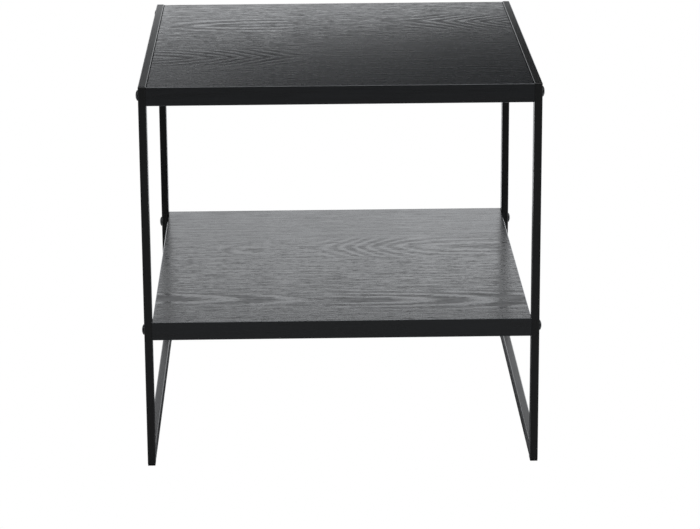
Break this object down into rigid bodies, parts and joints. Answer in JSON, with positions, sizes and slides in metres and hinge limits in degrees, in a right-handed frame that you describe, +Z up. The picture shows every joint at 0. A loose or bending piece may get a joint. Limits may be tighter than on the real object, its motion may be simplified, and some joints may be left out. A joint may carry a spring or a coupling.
{
  "type": "end table",
  "caption": "Free-standing end table: a black wood-grain top and a lower shelf bolted between two closed rectangular side frames of slim black steel tube.",
  "frame": {"origin": "on the floor, under the middle of the table", "axes": "+X to the table's right seen from its front, +Y from the front to the rear, +Z up; the side frames stand at -X and +X"},
  "size_m": [0.506, 0.54, 0.496],
  "materials": {
    "frame_coat": "black powder coat, fine texture, satin",
    "grain_foil": "black wood-grain foil on board, embossed, satin",
    "edge_band": "black plastic edge band, matt, fine grain along its length",
    "board_core": "raw particle board",
    "bolt_steel": "black coated steel, satin",
    "insert_alloy": "zinc alloy, as cast",
    "glide_plastic": "moulded black polyethylene"
  },
  "bodies": {
    "root": {"left_front_leg": "frame_coat", "left_rear_leg": "frame_coat", "left_top_rail": "frame_coat", "left_bottom_rail": "frame_coat", "right_front_leg": "frame_coat", "right_rear_leg": "frame_coat", "right_top_rail": "frame_coat", "right_bottom_rail": "frame_coat", "top_board_core": "board_core", "top_board_upper_foil": "grain_foil", "top_board_lower_foil": "grain_foil", "top_board_front_band": "edge_band", "top_board_rear_band": "edge_band", "top_board_left_band": "edge_band", "top_board_right_band": "edge_band", "top_board_bolts": "bolt_steel", "top_board_inserts": "insert_alloy", "shelf_core": "board_core", "shelf_upper_foil": "grain_foil", "shelf_lower_foil": "grain_foil", "shelf_front_band": "edge_band", "shelf_rear_band": "edge_band", "shelf_left_band": "edge_band", "shelf_right_band": "edge_band", "shelf_bolts": "bolt_steel", "shelf_inserts": "insert_alloy", "front_left_glide": "glide_plastic", "front_right_glide": "glide_plastic", "rear_left_glide": "glide_plastic", "rear_right_glide": "glide_plastic"}
  },
  "joints": []
}
